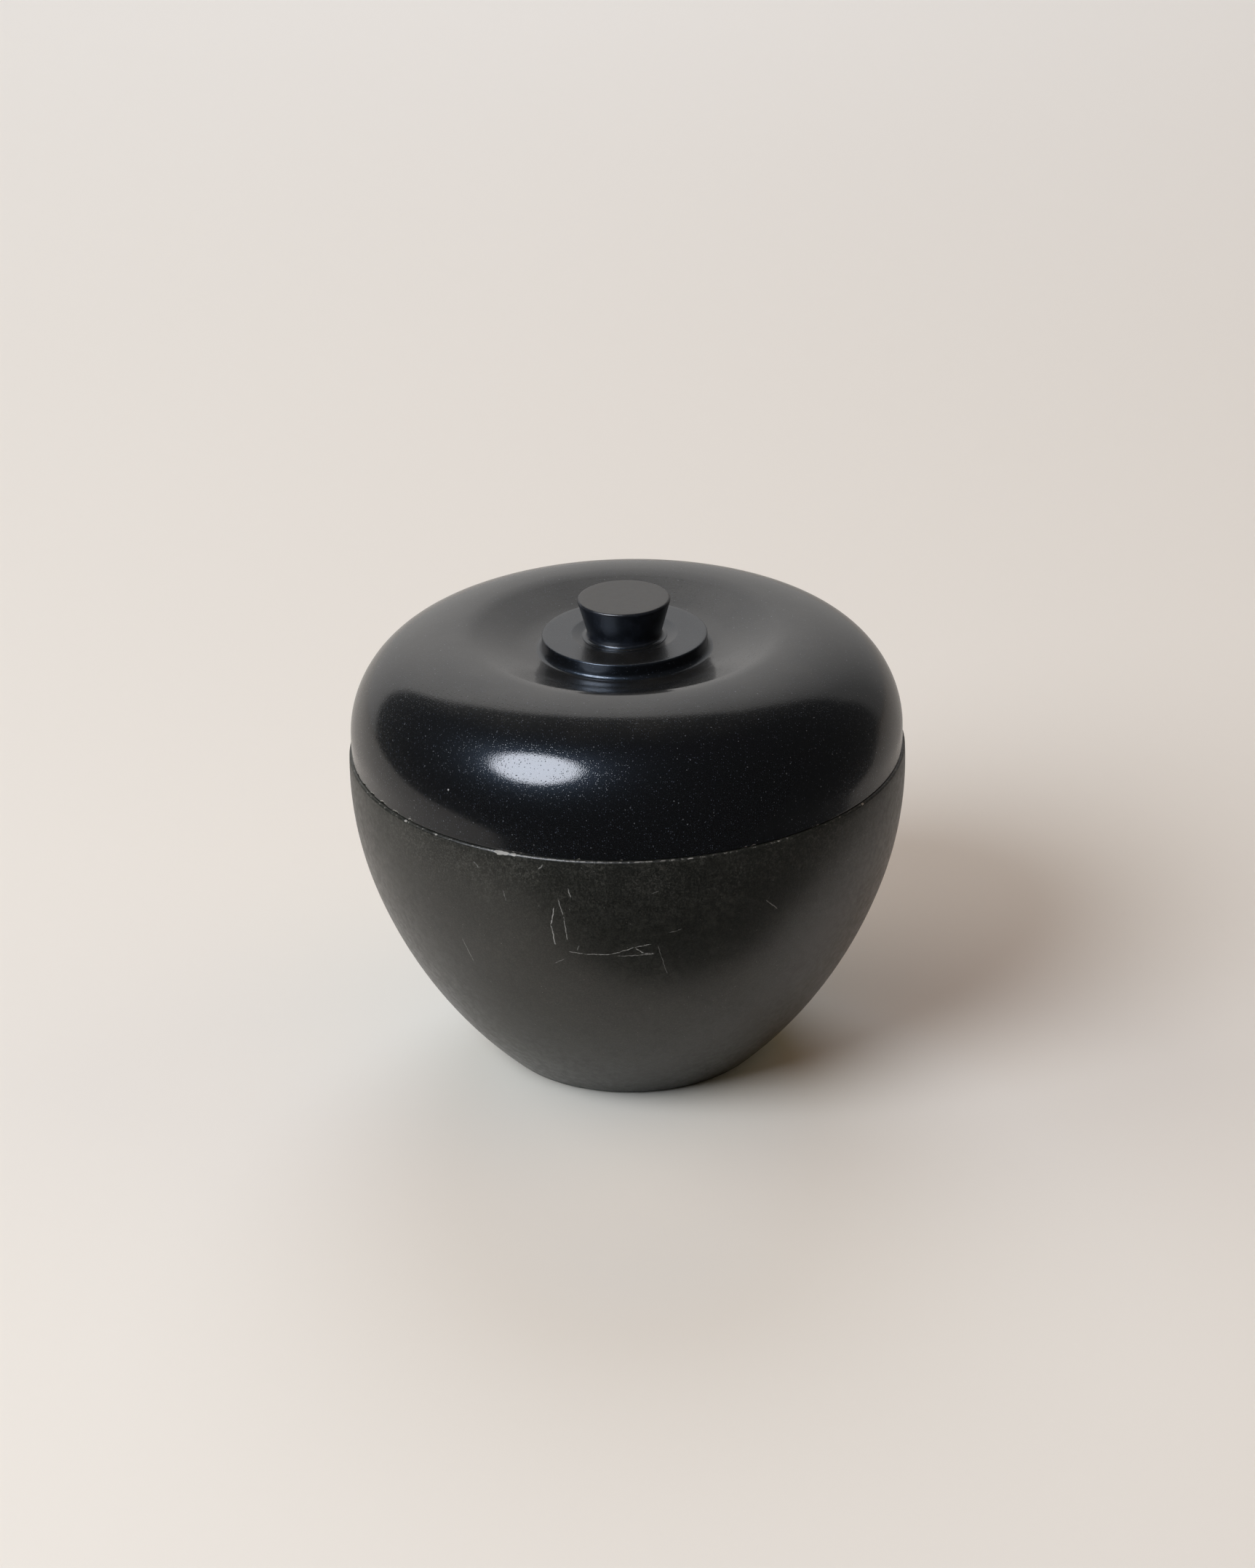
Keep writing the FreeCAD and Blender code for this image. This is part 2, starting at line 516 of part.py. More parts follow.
def make_insert(doc, d):
    """The threaded insert moulded into the knob: a fluted brass bush with a waist that keeps it in."""
    body = new_body(doc, "knob_insert")
    foot = d.well_height + d.disc_height - d.dish_depth
    third = d.insert_length / 3
    waist = d.insert_radius - d.insert_waist
    outline = Outline(body, "insert_outline")
    corners = [
        (d.insert_bore_radius, foot),
        (d.insert_radius, foot),
        (d.insert_radius, foot + third),
        (waist, foot + third),
        (waist, foot + 2 * third),
        (d.insert_radius, foot + 2 * third),
        (d.insert_radius, foot + d.insert_length),
        (d.insert_bore_radius, foot + d.insert_length),
    ]
    sides = [outline.line(a, b) for a, b in zip(corners, corners[1:] + corners[:1])]
    for side, following in zip(sides, sides[1:] + sides[:1]):
        outline.add("Coincident", side, END, following, START)
    for level in sides[0::2]:
        outline.add("Horizontal", level)
    for upright in sides[1::2]:
        outline.add("Vertical", upright)
    outline.size("DistanceX", "<insert_bore_radius>", corners[0][0], *ORIGIN, sides[0], START)
    outline.size("DistanceX", "<insert_radius>", corners[1][0], *ORIGIN, sides[0], END)
    outline.size("DistanceX", "<insert_radius> - <insert_waist>", waist, *ORIGIN, sides[2], END)
    outline.size("DistanceX", "<insert_radius>", corners[5][0], *ORIGIN, sides[4], END)
    foot_size = "<well_height> + <disc_height> - <dish_depth>"
    outline.size("DistanceY", foot_size, foot, *ORIGIN, sides[0], START)
    outline.size("DistanceY", "<insert_length> / 3", third, sides[1], START, sides[1], END)
    outline.size("DistanceY", "<insert_length> / 3", third, sides[3], START, sides[3], END)
    outline.size("DistanceY", "<insert_length> / 3", third, sides[5], START, sides[5], END)
    revolve(body, outline, "Revolution", "insert_solid")

    # one flute, a small triangle cut all the way up, then repeated round the axis
    flute = Outline(body, "flute_outline", "XY_Plane")
    inner, outer = d.insert_radius - d.flute_depth, d.insert_radius + d.flute_depth
    half = 2 * d.flute_depth
    left = flute.line((inner, 0), (outer, half))
    back = flute.line((outer, half), (outer, -half))
    right = flute.line((outer, -half), (inner, 0))
    flute.join((left, END, back, START), (back, END, right, START), (right, END, left, START))
    flute.add("PointOnObject", left, START, -1)
    flute.add("Vertical", back)
    flute.add("Equal", left, right)
    flute.size("DistanceX", "<insert_radius> - <flute_depth>", inner, *ORIGIN, left, START)
    flute.size("DistanceX", "<insert_radius> + <flute_depth>", outer, *ORIGIN, left, END)
    flute.size("DistanceY", "4 * <flute_depth>", 2 * half, back, END, back, START)
    cut = pocket(body, flute, "flute")
    pattern = body.newObject("PartDesign::PolarPattern", "flutes")
    pattern.Originals = [cut]
    pattern.Axis = (flute.sketch, ["N_Axis"])
    pattern.Angle = 360.0
    pattern.Occurrences = FLUTES
    body.Tip = pattern
    doc.recompute()
    return body


def make_washer(doc, d):
    """The plain washer between the screw's head and the lid."""
    body = new_body(doc, "knob_washer")
    top = d.well_height + d.disc_height - d.web_thickness
    bottom = top - d.washer_thickness
    outline = Outline(body, "washer_outline")
    corners = [
        (d.washer_hole_radius, bottom),
        (d.washer_radius, bottom),
        (d.washer_radius, top),
        (d.washer_hole_radius, top),
    ]
    sides = [outline.line(a, b) for a, b in zip(corners, corners[1:] + corners[:1])]
    for side, following in zip(sides, sides[1:] + sides[:1]):
        outline.add("Coincident", side, END, following, START)
    for level in sides[0::2]:
        outline.add("Horizontal", level)
    for upright in sides[1::2]:
        outline.add("Vertical", upright)
    top_size = "<well_height> + <disc_height> - <web_thickness>"
    outline.size("DistanceY", top_size, top, *ORIGIN, sides[2], START)
    outline.size("DistanceY", "<washer_thickness>", d.washer_thickness, sides[1], START, sides[1], END)
    outline.size("DistanceX", "<washer_hole_radius>", corners[0][0], *ORIGIN, sides[0], START)
    outline.size("DistanceX", "<washer_radius>", corners[1][0], *ORIGIN, sides[0], END)
    revolve(body, outline, "Revolution", "washer_ring")
    return body


def make_screw(doc, d):
    """The pan-head screw that holds the knob, put in from under the lid."""
    body = new_body(doc, "knob_screw")
    under_head = d.well_height + d.disc_height - d.web_thickness - d.washer_thickness
    bottom = under_head - d.head_height
    tip = under_head + d.shank_length
    outline = Outline(body, "screw_outline")
    head = outline.line((0, bottom), (d.head_radius, bottom))
    side = outline.line((d.head_radius, bottom), (d.head_radius, under_head))
    ledge = outline.line((d.head_radius, under_head), (d.shank_radius, under_head))
    shank = outline.line((d.shank_radius, under_head), (d.shank_radius, tip))
    end = outline.line((d.shank_radius, tip), (0, tip))
    axis = outline.line((0, tip), (0, bottom))
    outline.join((head, END, side, START), (side, END, ledge, START), (ledge, END, shank, START))
    outline.join((shank, END, end, START), (end, END, axis, START), (axis, END, head, START))
    outline.add("PointOnObject", head, START, -2)
    for level in (head, ledge, end):
        outline.add("Horizontal", level)
    for upright in (side, shank, axis):
        outline.add("Vertical", upright)
    bottom_size = "<well_height> + <disc_height> - <web_thickness> - <washer_thickness> - <head_height>"
    outline.size("DistanceY", bottom_size, bottom, *ORIGIN, head, START)
    outline.size("DistanceY", "<head_height>", d.head_height, side, START, side, END)
    outline.size("DistanceY", "<shank_length>", d.shank_length, shank, START, shank, END)
    outline.size("DistanceX", "<head_radius>", d.head_radius, *ORIGIN, head, END)
    outline.size("DistanceX", "<shank_radius>", d.shank_radius, *ORIGIN, ledge, END)
    revolve(body, outline, "Revolution", "screw_solid")

    # the slot's outline lies on the table plane, so its cut is as long as the slot's floor is high
    slot = Outline(body, "slot_outline", "XY_Plane")
    reach, half = d.head_radius + OVERCUT, d.slot_width / 2
    corners = [(-reach, -half), (reach, -half), (reach, half), (-reach, half)]
    sides = [slot.line(a, b) for a, b in zip(corners, corners[1:] + corners[:1])]
    for one, following in zip(sides, sides[1:] + sides[:1]):
        slot.add("Coincident", one, END, following, START)
    for level in sides[0::2]:
        slot.add("Horizontal", level)
    for upright in sides[1::2]:
        slot.add("Vertical", upright)
    slot.add("Symmetric", sides[0], START, sides[1], END, *ORIGIN)
    slot.size("DistanceX", f"2 * (<head_radius> + {OVERCUT})", 2 * reach, sides[0], START, sides[0], END)
    slot.size("DistanceY", "<slot_width>", d.slot_width, sides[1], START, sides[1], END)
    edge = ring_edges(body.Tip, d.head_radius, bottom)
    dress(body, "Fillet", "head_edge", edge, "<head_rounding>")
    pocket(body, slot, "head_slot", bottom_size + " + <slot_depth>")
    point = ring_edges(body.Tip, d.shank_radius, tip)
    dress(body, "Chamfer", "shank_point", point, "<edge_break>")
    return body


def check(doc, bodies):
    """Stops if any object of the document failed, or a piece's shape is empty, invalid or not solid."""
    doc.recompute()
    failed = [o.Name for o in doc.Objects if {"Invalid", "Error"} & set(o.State)]
    if failed:
        raise RuntimeError(f"these objects failed: {failed}")
    for body in bodies:
        shape = body.Shape
        if shape.isNull() or not shape.isValid() or len(shape.Solids) != 1:
            raise RuntimeError(f"{body.Label} is not one valid solid")


def main():
    doc = FreeCAD.newDocument("go_stone_bowl")
    dimensions = Sheet(make_sheet(doc))
    makers = (make_bowl, make_lid, make_knob, make_insert, make_washer, make_screw)
    bodies = [make(doc, dimensions) for make in makers]
    check(doc, bodies)
    os.makedirs("parts", exist_ok=True)
    for body in bodies:
        body.Shape.exportStep(f"parts/{body.Label}.step")
        box = body.Shape.optimalBoundingBox(True)
        print(f"{body.Label}: z {box.ZMin:.2f} to {box.ZMax:.2f}, across {box.XLength:.2f}, "
              f"volume {body.Shape.Volume / 1000:.2f} cm3")


main()
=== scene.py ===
import math

import bpy
import numpy as np
from mathutils import Matrix, Vector


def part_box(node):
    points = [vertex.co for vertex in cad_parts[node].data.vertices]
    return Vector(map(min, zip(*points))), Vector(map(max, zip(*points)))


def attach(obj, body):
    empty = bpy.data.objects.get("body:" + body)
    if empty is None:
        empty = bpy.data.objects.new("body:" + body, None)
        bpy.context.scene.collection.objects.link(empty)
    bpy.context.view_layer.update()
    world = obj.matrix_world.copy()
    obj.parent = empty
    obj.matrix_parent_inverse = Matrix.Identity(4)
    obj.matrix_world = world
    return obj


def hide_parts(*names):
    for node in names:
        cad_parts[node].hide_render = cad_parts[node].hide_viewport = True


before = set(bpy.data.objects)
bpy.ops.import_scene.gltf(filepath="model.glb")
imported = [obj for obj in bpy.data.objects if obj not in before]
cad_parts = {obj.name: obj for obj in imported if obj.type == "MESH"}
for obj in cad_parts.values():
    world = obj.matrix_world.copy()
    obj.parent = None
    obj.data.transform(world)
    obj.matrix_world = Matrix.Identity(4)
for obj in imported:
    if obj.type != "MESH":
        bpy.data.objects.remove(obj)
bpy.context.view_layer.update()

MM = 0.001


# ---------------------------------------------------------------- sizes in millimetres

BOWL_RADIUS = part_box("bowl")[1].x / MM
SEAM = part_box("bowl")[1].z / MM             # height of the bowl's rim, where the lid sits
DISH_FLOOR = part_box("knob")[0].z / MM       # height of the floor of the dish that the knob stands in
KNOB_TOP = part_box("knob")[1].z / MM

WALL = 3.2                                  # the bowl's wall
BELLY_RADIUS = 77.4                         # radius of the arc of the bowl's upper wall
FLANK_RADIUS = 103.9                        # radius of the arc of its lower wall
LEAN = -19.3                                # direction, in degrees, in which the two arcs meet
BELLY = (BOWL_RADIUS - BELLY_RADIUS, SEAM - 4.1)
FOOT_RADIUS = 29.0
RECESS_RADIUS, RECESS_DEPTH = 23.5, 0.9     # the recess under the foot
FLOOR = 4.4                                 # height of the bowl's floor inside

LID_WALL = 3.0
SHOULDER = 21.3                             # radius of the arc of the lid's shoulder
SHOULDER_C = (38.4, SEAM + 3.9)
LID_RADIUS = SHOULDER_C[0] + SHOULDER
CROWN = 27.8                                # radius of the arc from the shoulder to the crest
CREST_R, CREST_ROUND = 35.3, 12.0           # where the crest is, and its rounding
WELL_SLOPE = 17.0                           # slope of the well's cone in degrees
SPIGOT_PLAY, SPIGOT_DEPTH, SPIGOT_WALL = 0.4, 4.0, 2.2
DISH_RADIUS, DISH_FLOOR_RADIUS, DISH_DEPTH, DISH_ROUND = 11.4, 9.3, 0.6, 1.5
DISC_TOP = DISH_FLOOR + DISH_DEPTH
DISC_R, DISC_HEIGHT, WEB = 17.8, 3.3, 3.2
WELL_Z = DISC_TOP - DISC_HEIGHT
HOLE_R, POCKET_R = 2.3, 8.0                 # the screw's hole and the pocket for its head

KNOB_R, KNOB_FOOT_R, KNOB_FLANGE_R = 10.1, 7.75, 9.1
KNOB_HOLE_R, KNOB_HOLE_DEPTH = 3.2, 6.0

SEGMENTS = 900                              # faces round the axis


# ---------------------------------------------------------------- profiles, as points of (radius, height)


def arc(centre, radius, first, last, count):
    """Points on an arc, angles in degrees."""
    turns = np.radians(np.linspace(first, last, count))
    return [(centre[0] + radius * math.cos(t), centre[1] + radius * math.sin(t)) for t in turns]


def corner(before, point, after, radius, count=5):
    """A rounded corner at the middle one of three points."""
    p = np.array(point, float)
    a = np.array(before, float) - p
    b = np.array(after, float) - p
    a /= np.linalg.norm(a)
    b /= np.linalg.norm(b)
    half = math.acos(float(np.clip(a @ b, -1, 1))) / 2
    reach = radius / math.tan(half)
    middle = p + (a + b) / np.linalg.norm(a + b) * radius / math.sin(half)
    start = p + a * reach
    end = p + b * reach
    t0 = math.atan2(*(start - middle)[::-1])
    t1 = math.atan2(*(end - middle)[::-1])
    sweep = (t1 - t0 + math.pi) % (2 * math.pi) - math.pi
    turns = [t0 + sweep * k / (count - 1) for k in range(count)]
    return [tuple(middle + radius * np.array([math.cos(t), math.sin(t)])) for t in turns]


def run(start, end, step):
    """Points strictly between two points, about step apart."""
    a, b = np.array(start, float), np.array(end, float)
    n = max(1, int(round(np.linalg.norm(b - a) / step)))
    return [tuple(a + (b - a) * k / n) for k in range(1, n)]


def flank_centre():
    turn = math.radians(LEAN)
    reach = BELLY_RADIUS - FLANK_RADIUS
    return (BELLY[0] + reach * math.cos(turn), BELLY[1] + reach * math.sin(turn))


def wall_arcs(inset, low_height, top_height, flank_count, belly_count):
    """The bowl's wall from near its foot up to the rim, inset from the outer face."""
    flank = flank_centre()
    r_flank, r_belly = FLANK_RADIUS - inset, BELLY_RADIUS - inset
    low = math.degrees(math.asin((low_height - flank[1]) / r_flank))
    high = math.degrees(math.asin((top_height - BELLY[1]) / r_belly))
    lower = arc(flank, r_flank, low, LEAN, flank_count)
    upper = arc(BELLY, r_belly, LEAN, high, belly_count)
    return lower + upper[1:]


def bowl_profile():
    """From the middle of the foot's underside, out and up to the rim, and down inside to the floor."""
    recess = (RECESS_RADIUS, RECESS_DEPTH)
    outer = wall_arcs(0, 1.3, SEAM - 1.0, 34, 26)
    rim = (BELLY[0] + math.sqrt(BELLY_RADIUS**2 - (SEAM - BELLY[1])**2), SEAM)
    mouth = BELLY[0] + BELLY_RADIUS - WALL
    inner = wall_arcs(WALL, 8.0, BELLY[1], 22, 12)[::-1]
    points = [(r, RECESS_DEPTH) for r in (0, 6, 12, 18, 22.5)]
    points += corner((20, RECESS_DEPTH), recess, (RECESS_RADIUS, 0), 0.25, 3)
    points += corner(recess, (RECESS_RADIUS, 0), (27, 0), 0.25, 3)
    points += run((24, 0), (28, 0), 1.3)
    points += corner((26, 0), (FOOT_RADIUS, 0), outer[0], 1.2, 6)
    points += outer
    points += run(outer[-1], (rim[0], SEAM - 0.7), 0.1)
    points += corner(outer[-1], rim, (mouth, SEAM), 0.6, 8)
    points += run((rim[0] - 0.6, SEAM), (rim[0] - 1.8, SEAM), 0.2)
    points += corner(rim, (mouth, SEAM), (mouth, SEAM - 3), 0.8, 6)
    points += run((mouth, SEAM - 0.9), (mouth, BELLY[1]), 1.1)
    points += inner
    points += corner(inner[-1], (29.0, FLOOR), (20, FLOOR), 9.0, 8)
    points += [(r, FLOOR) for r in (20, 13, 6, 0)]
    return points


def dome(inset, low, counts):
    """The lid from its shoulder in to the foot of the disc: four arcs and the well's short cone."""
    apart = CROWN - SHOULDER
    crown_c = (CREST_R, SHOULDER_C[1] - math.sqrt(apart**2 - (SHOULDER_C[0] - CREST_R)**2))
    top = crown_c[1] + CROWN
    crest_c = (CREST_R, top - CREST_ROUND)
    slope = math.radians(WELL_SLOPE)
    across, drop = CREST_R - DISC_R, top - WELL_Z
    # the arcs' radii together, from the run and the drop that they and the cone make up
    both = (across * math.sin(slope) - drop * math.cos(slope)) / (1 - math.cos(slope))
    well_r = both - CREST_ROUND
    well_c = (DISC_R, WELL_Z + well_r)
    turn = math.degrees(math.atan2(SHOULDER_C[1] - crown_c[1], SHOULDER_C[0] - crown_c[0]))
    a = arc(SHOULDER_C, SHOULDER - inset, low, turn, counts[0])
    b = arc(crown_c, CROWN - inset, turn, 90, counts[1])
    c = arc(crest_c, CREST_ROUND - inset, 90, 90 + WELL_SLOPE, counts[2])
    e = arc(well_c, well_r + inset, 270 + WELL_SLOPE, 270, counts[3])
    return a + b[1:] + c[1:] + run(c[-1], e[0], 2.0) + e


def lid_profile():
    """Round the lid's section: hole, dish, disc, well, ring, spigot, and the inside up to the pocket."""
    spigot = BOWL_RADIUS - WALL - SPIGOT_PLAY
    bore = spigot - SPIGOT_WALL
    bottom = SEAM - SPIGOT_DEPTH
    web, ceiling = DISC_TOP - WEB, WELL_Z - LID_WALL
    outer = dome(0, 0.0, (22, 16, 8, 12))
    lip = outer[0]
    inner_low = math.degrees(math.acos((bore - SHOULDER_C[0]) / (SHOULDER - LID_WALL)))
    inner = dome(LID_WALL, inner_low, (12, 9, 6, 8))
    dish_foot, dish_edge = (DISH_FLOOR_RADIUS, DISH_FLOOR), (DISH_RADIUS, DISC_TOP)
    disc_edge, disc_foot = (DISC_R, DISC_TOP), (DISC_R, WELL_Z)
    points = [(HOLE_R, web)] + [(r, DISH_FLOOR) for r in (HOLE_R, 6, 8, 8.7)]
    points += corner((6, DISH_FLOOR), dish_foot, dish_edge, DISH_ROUND, 5)
    points += run((9.6, DISH_FLOOR + 0.086), (11.1, DISC_TOP - 0.086), 0.4)
    points += corner(dish_foot, dish_edge, (13, DISC_TOP), DISH_ROUND, 5)
    points += [(r, DISC_TOP) for r in (12.2, 13, 15.5, 16.6)]
    points += corner((12, DISC_TOP), disc_edge, disc_foot, 0.4, 6)
    points += run((DISC_R, DISC_TOP - 0.5), (DISC_R, WELL_Z + 1.3), 0.5)
    points += corner(disc_edge, disc_foot, (DISC_R + 3, WELL_Z), 1.2, 9)
    points += [point for point in outer[::-1] if point[0] > DISC_R + 1.5]
    points += run(lip, (LID_RADIUS, SEAM + 1.4), 0.6)
    points += run((LID_RADIUS, SEAM + 1.6), (LID_RADIUS, SEAM + 0.35), 0.15)
    points += corner(lip, (LID_RADIUS, SEAM), (spigot, SEAM), 0.25, 5)
    points += run((LID_RADIUS - 0.4, SEAM), (spigot, SEAM), 0.5)
    points += [(spigot, SEAM)]
    points += corner((spigot, SEAM), (spigot, bottom), (bore, bottom), 0.4, 4)
    points += corner((spigot, bottom), (bore, bottom), (bore, SEAM + 2), 0.3, 4)
    points += run((bore, bottom + 0.4), (bore, SEAM + 8), 2.0)
    points += inner
    points += run(inner[-1], (POCKET_R, ceiling), 3)
    points += corner((12, ceiling), (POCKET_R, ceiling), (POCKET_R, web), 0.25, 3)
    points += [(POCKET_R, web), (5.2, web)]
    return points[::-1]


def knob_profile():
    """From the middle of the top, down the flared side and the thin flange, to the top of the blind hole."""
    brim, root = DISH_FLOOR + 0.1, DISH_FLOOR + 0.2
    hole_top = DISH_FLOOR + KNOB_HOLE_DEPTH
    start, end = (KNOB_R - 0.15, KNOB_TOP - 0.6), (KNOB_FOOT_R + 0.25, root + 0.95)
    points = [(r, KNOB_TOP) for r in (0, 3, 6, 8)]
    points += corner((6, KNOB_TOP), (KNOB_R, KNOB_TOP), (KNOB_FOOT_R, root), 0.5, 8)
    points += [start] + run(start, end, 0.75) + [end]
    points += corner((KNOB_R, KNOB_TOP), (KNOB_FOOT_R, root), (KNOB_FLANGE_R, brim), 0.8, 9)
    points += corner((KNOB_FOOT_R, root), (KNOB_FLANGE_R, brim), (KNOB_FLANGE_R, DISH_FLOOR), 0.06, 4)
    points += [(KNOB_FLANGE_R, DISH_FLOOR), (KNOB_HOLE_R, DISH_FLOOR)]
    points += [(KNOB_HOLE_R, hole_top), (0, hole_top)]
    return points[::-1]


# ---------------------------------------------------------------- meshes


def lathe(name, profile, closed, shape):
    """A closed mesh turned about Z, from a profile that goes anticlockwise, so that faces point outwards.

    An open profile starts and ends on the axis. shape(radius, height, angle) moves the points and gives
    each a wear value.
    """
    p = np.array(profile, float)
    keep = [0] + [k for k in range(1, len(p)) if np.linalg.norm(p[k] - p[k - 1]) > 1e-4]
    p = p[keep]
    if closed and np.linalg.norm(p[0] - p[-1]) < 1e-4:
        p = p[:-1]
    angle = np.arange(SEGMENTS) * 2 * math.pi / SEGMENTS
    poles = [] if closed else [0, len(p) - 1]
    rings = [k for k in range(len(p)) if k not in poles]
    radius = np.repeat(p[rings, 0][:, None], SEGMENTS, 1)
    height = np.repeat(p[rings, 1][:, None], SEGMENTS, 1)
    radius, height, wear = shape(radius, height, np.broadcast_to(angle, radius.shape))
    co = np.stack([radius * np.sin(angle), -radius * np.cos(angle), height], -1).reshape(-1, 3)
    values = wear.reshape(-1)
    index = np.arange(len(rings) * SEGMENTS).reshape(len(rings), SEGMENTS)
    nxt = np.roll(index, -1, axis=1)
    rows = [(k, k + 1) for k in range(len(rings) - 1)]
    if closed:
        rows.append((len(rings) - 1, 0))
    quads = np.concatenate([np.stack([index[a], nxt[a], nxt[b], index[b]], -1) for a, b in rows])
    faces = [tuple(int(i) for i in q) for q in quads]
    if not closed:
        low, high = len(co), len(co) + 1
        co = np.concatenate([co, [[0, 0, p[0, 1]], [0, 0, p[-1, 1]]]])
        values = np.concatenate([values, [0, 0]])
        faces += [(low, int(nxt[0, k]), int(index[0, k])) for k in range(SEGMENTS)]
        faces += [(high, int(index[-1, k]), int(nxt[-1, k])) for k in range(SEGMENTS)]
    mesh = bpy.data.meshes.new(name)
    mesh.from_pydata((co * MM).tolist(), [], faces)
    wear_layer = mesh.attributes.new("wear", "FLOAT", "POINT")
    wear_layer.data.foreach_set("value", values.astype(np.float32))
    mesh.shade_smooth()
    mesh.set_sharp_from_angle(angle=math.radians(42))
    mesh.update()
    piece = bpy.data.objects.new(name, mesh)
    bpy.context.scene.collection.objects.link(piece)
    return piece


def ring_noise(seed, waves, low, high):
    """A smooth random function of the angle round the axis, from about -1 to 1."""
    rng = np.random.default_rng(seed)
    counts = rng.integers(low, high, waves)
    phases = rng.uniform(0, 2 * math.pi, waves)
    sizes = rng.uniform(0.3, 1.0, waves) / np.sqrt(waves)
    return lambda angle: sum(s * np.sin(n * angle + f) for n, f, s in zip(counts, phases, sizes))


def chips(seed, count, named, widths, depths):
    """Chips along a round edge: middle angle in degrees, width along the edge and depth of each."""
    rng = np.random.default_rng(seed)
    found = list(named)
    for _ in range(count):
        middle = rng.uniform(0, 360)
        found.append((middle, rng.uniform(*widths), rng.uniform(*depths)))
    return found


def chip_depth(angle, found, radius):
    """How deep the edge is chipped at each angle."""
    depth = np.zeros_like(angle)
    for middle, width, deep in found:
        away = (angle - math.radians(middle) + math.pi) % (2 * math.pi) - math.pi
        share = np.abs(away) * radius / (width / 2)
        depth = np.maximum(depth, deep * np.clip(1.15 - share**2, 0, 1))
    return depth


RIM_CHIPS = chips(11, 46, [
    (-26, 3.6, 0.34), (-23.5, 1.4, 0.2), (-42, 1.0, 0.16), (-51, 1.0, 0.15), (55, 0.9, 0.16),
    (12, 2.2, 0.12),
], (0.3, 1.2), (0.03, 0.11))
LIP_CHIPS = chips(23, 40, [
    (-50, 1.6, 0.28), (-55, 2.4, 0.34), (-60, 3.2, 0.42), (-65, 2.4, 0.40), (-70, 2.6, 0.42),
    (-75, 2.2, 0.38), (-80, 2.0, 0.34),
], (0.4, 1.2), (0.05, 0.16))


def bowl_shape(radius, height, angle):
    """The rim's outer edge is chipped, and the wall is up to 0.03 mm or so out of round."""
    rough = ring_noise(5, 24, 60, 400)(angle)
    depth = chip_depth(angle, RIM_CHIPS, BOWL_RADIUS) * (1 + 0.3 * rough)
    away = np.hypot(radius - (BOWL_RADIUS - 0.12), height - SEAM)
    share = np.clip(1 - away / (0.25 + 1.4 * depth), 0, 1)
    near = (radius > BOWL_RADIUS - 2.0) & (height > SEAM - 2.0)
    move = np.where(near, share * depth, 0)
    wave = ring_noise(8, 6, 2, 6)(angle) * 0.03
    wave = wave * np.clip((height - 8) / 30, 0, 1) * np.clip((SEAM - 3 - height) / 20, 0, 1)
    return radius - 0.55 * move + np.minimum(wave, 0), height - 0.8 * move, np.clip(move * 12, 0, 1)


def lid_shape(radius, height, angle):
    """The lid's lower outer edge is nicked."""
    depth = chip_depth(angle, LIP_CHIPS, LID_RADIUS) * (1 + 0.3 * ring_noise(6, 24, 60, 400)(angle))
    away = np.hypot(radius - (LID_RADIUS - 0.1), height - SEAM)
    share = np.clip(1 - away / (0.2 + 1.4 * depth), 0, 1)
    near = (radius > LID_RADIUS - 2.0) & (height < SEAM + 2.0) & (height > SEAM - 0.1)
    move = np.where(near, share * depth, 0)
    return radius - 0.5 * move, height + 0.7 * move, np.clip(move * 12, 0, 1)


def knob_shape(radius, height, angle):
    """Wear on the knob's rim, heaviest where fingers take it."""
    away = np.hypot(radius - 9.95, height - (KNOB_TOP - 0.15))
    share = np.clip(1 - away / 0.35, 0, 1)
    patchy = 0.45 + 0.25 * ring_noise(31, 14, 8, 90)(angle)
    return radius, height, share * np.clip(patchy, 0, 1)


# ---------------------------------------------------------------- materials


